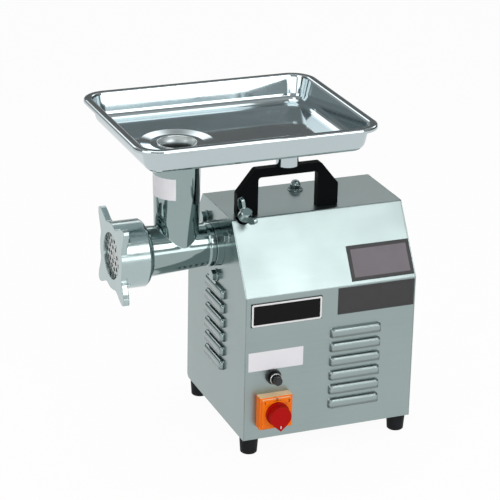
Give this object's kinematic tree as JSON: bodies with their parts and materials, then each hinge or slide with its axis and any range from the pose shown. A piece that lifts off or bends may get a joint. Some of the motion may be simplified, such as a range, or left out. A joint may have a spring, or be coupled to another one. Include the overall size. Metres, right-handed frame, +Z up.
{
  "type": "electric meat grinder",
  "caption": "Electric meat grinder: sheet steel case with geared motor, lift-out grinding head with auger, knife, plate and ring nut, and a feed pan on its throat.",
  "frame": {"origin": "centre of the case's footprint, on the plane of the feet's undersides", "axes": "+X towards the closed end of the case (the head points to -X), +Y to the back, +Z up"},
  "size_m": [0.3829, 0.2598, 0.431],
  "materials": {
    "case_steel": "brushed stainless sheet",
    "side_steel": "satin stainless sheet",
    "head_metal": "polished cast steel",
    "pan_steel": "mirror polished sheet",
    "screw_steel": "bright plated",
    "tool_steel": "ground steel",
    "machined_steel": "machined steel",
    "gear_steel": "hobbed steel",
    "cast_alloy": "sand cast",
    "motor_paint": "grey paint",
    "copper_wire": "enamelled copper",
    "capacitor_can": "drawn can",
    "handle_black": "gloss black",
    "foot_rubber": "matt rubber",
    "badge_black": "bare black plate with a pale border",
    "plate_grey": "bare etched plate",
    "switch_orange": "moulded orange",
    "knob_red": "moulded red",
    "black_plastic": "moulded black",
    "cream_plastic": "moulded cream",
    "brass_pad": "turned brass"
  },
  "bodies": {
    "housing": {"case_wrap": "case_steel", "side_panel_left": "side_steel", "side_panel_right": "side_steel", "base_plate": "case_steel", "feet": "foot_rubber", "foot_screws": "screw_steel", "handle": "handle_black", "handle_screws": "screw_steel", "top_bolt": "screw_steel", "badge_plate": "badge_black", "front_plate": "plate_grey", "slope_plate": "plate_grey", "gearbox_housing": "cast_alloy", "gearbox_cover": "cast_alloy", "cover_screws": "screw_steel", "flange_bolts": "screw_steel", "shaft_seal": "foot_rubber", "output_bearings": "machined_steel", "counter_bearings": "machined_steel", "motor_bearings": "machined_steel", "motor_shell": "motor_paint", "front_bell": "cast_alloy", "rear_bell": "cast_alloy", "stator_core": "machined_steel", "stator_windings": "copper_wire", "tie_bolts": "screw_steel", "motor_cradle": "motor_paint", "capacitor": "capacitor_can", "capacitor_clip": "motor_paint", "terminal_block": "cream_plastic", "cord_gland": "black_plastic", "switch_housing": "switch_orange", "contact_block": "black_plastic", "breaker_barrel": "black_plastic", "breaker_nut": "screw_steel"},
    "motor_rotor": {"rotor": "machined_steel", "rotor_shaft": "machined_steel", "fan": "black_plastic"},
    "countershaft": {"counter_shaft": "machined_steel", "counter_gear": "gear_steel", "counter_pinion": "machined_steel"},
    "output_drive": {"output_shaft": "machined_steel", "output_gear": "gear_steel"},
    "head": {"head_casting": "head_metal"},
    "auger_set": {"auger": "tool_steel", "auger_shank": "tool_steel", "knife": "tool_steel"},
    "plate_carrier": {"perforated_plate": "tool_steel"},
    "ring": {"ring_nut": "head_metal"},
    "clamp_carrier": {"clamp_pad": "brass_pad"},
    "clamp": {"clamp_screw": "screw_steel"},
    "feed_pan": {"pan": "pan_steel", "pan_leg": "pan_steel"},
    "switch": {"switch_knob": "knob_red"},
    "reset": {"reset_button": "black_plastic"}
  },
  "joints": [
    {"name": "motor_spin", "type": "hinge", "parent": "housing", "child": "motor_rotor", "pos_m": [0, 0, 0.143], "axis": [1, 0, 0], "continuous": true},
    {"name": "counter_spin", "type": "hinge", "parent": "housing", "child": "countershaft", "pos_m": [0, 0, 0.2], "axis": [1, 0, 0], "continuous": true},
    {"name": "output_spin", "type": "hinge", "parent": "housing", "child": "output_drive", "pos_m": [0, 0, 0.255], "axis": [1, 0, 0], "continuous": true},
    {"name": "head_slide", "type": "slide", "parent": "housing", "child": "head", "axis": [-1, 0, 0], "range_m": [0, 0.06]},
    {"name": "auger_spin", "type": "hinge", "parent": "head", "child": "auger_set", "pos_m": [0, 0, 0.255], "axis": [1, 0, 0], "continuous": true},
    {"name": "ring_travel", "type": "slide", "parent": "head", "child": "plate_carrier", "axis": [-1, 0, 0], "range_m": [0, 0.012]},
    {"name": "ring_turn", "type": "hinge", "parent": "plate_carrier", "child": "ring", "pos_m": [0, 0, 0.255], "axis": [-1, 0, 0], "range_deg": [0, 1440]},
    {"name": "clamp_travel", "type": "slide", "parent": "housing", "child": "clamp_carrier", "axis": [0, -0.7071, 0.7071], "range_m": [0, 0.00263]},
    {"name": "clamp_turn", "type": "hinge", "parent": "clamp_carrier", "child": "clamp", "pos_m": [-0.101, 0, 0.255], "axis": [0, -0.7071, 0.7071], "range_deg": [0, 540]},
    {"name": "pan_lift", "type": "slide", "parent": "head", "child": "feed_pan", "axis": [0, 0, 1], "range_m": [0, 0.045]},
    {"name": "switch_turn", "type": "hinge", "parent": "housing", "child": "switch", "pos_m": [-0.0775, -0.1195, 0.063], "axis": [0, -1, 0], "range_deg": [-45, 45]},
    {"name": "reset_press", "type": "slide", "parent": "housing", "child": "reset", "axis": [0, 1, 0], "range_m": [0, 0.003], "stiffness_N_per_m": 400}
  ],
  "couplings": [
    {"joint": "counter_spin", "follows": "motor_spin", "ratio": -0.35714},
    {"joint": "output_spin", "follows": "motor_spin", "ratio": 0.13393},
    {"joint": "auger_spin", "follows": "motor_spin", "ratio": 0.13393},
    {"joint": "ring_travel", "follows": "ring_turn", "m_per_rad": 0.00047746},
    {"joint": "clamp_turn", "follows": "clamp_travel", "rad_per_m": 3590.4}
  ]
}
